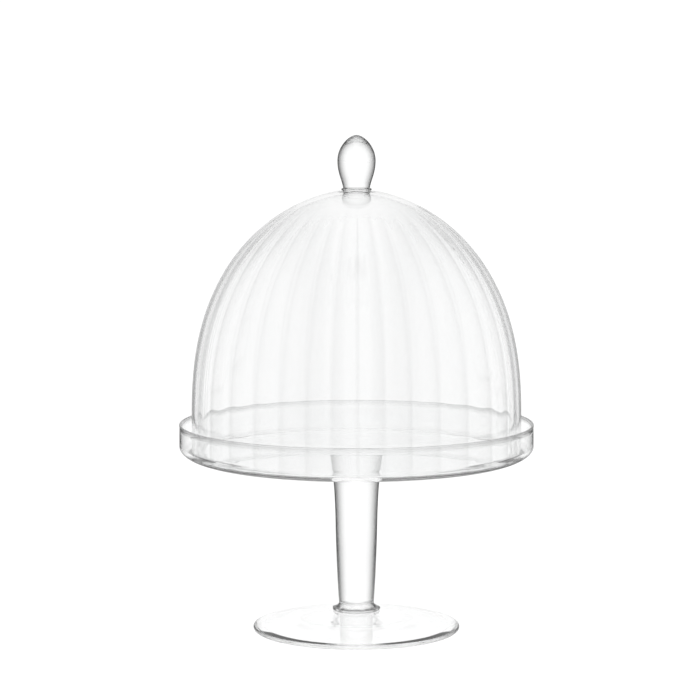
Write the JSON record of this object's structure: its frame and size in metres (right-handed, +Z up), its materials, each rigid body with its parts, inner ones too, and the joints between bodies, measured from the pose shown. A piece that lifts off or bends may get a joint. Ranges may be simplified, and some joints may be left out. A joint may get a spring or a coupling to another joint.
{
  "type": "cake stand dome",
  "caption": "Clear blown-glass pedestal cake stand with a raised rim, and a tall ribbed bell dome with an egg-shaped knob that lifts off.",
  "frame": {"origin": "centre of the foot, on the surface that it stands on", "axes": "+Z up along the axis of the stem, plate and dome. X and Y are alike, because every piece is round; one groove between two ribs of the dome lies on +X"},
  "size_m": [0.286, 0.286, 0.4004],
  "materials": {
    "solid_glass": "clear colourless glass, fire polished, solid and heavy",
    "plate_glass": "clear colourless blown glass, fire polished",
    "dome_glass": "clear colourless thin blown glass with soft optic ribs"
  },
  "bodies": {
    "stand": {"foot": "plate_glass", "stem_foot_ring": "solid_glass", "stem": "solid_glass", "plate": "plate_glass"},
    "dome": {"dome_shell": "dome_glass", "knob_collar": "solid_glass", "knob": "solid_glass"}
  },
  "joints": [
    {"name": "dome_lift", "type": "slide", "parent": "stand", "child": "dome", "axis": [0, 0, 1], "range_m": [0, 0.24]}
  ]
}
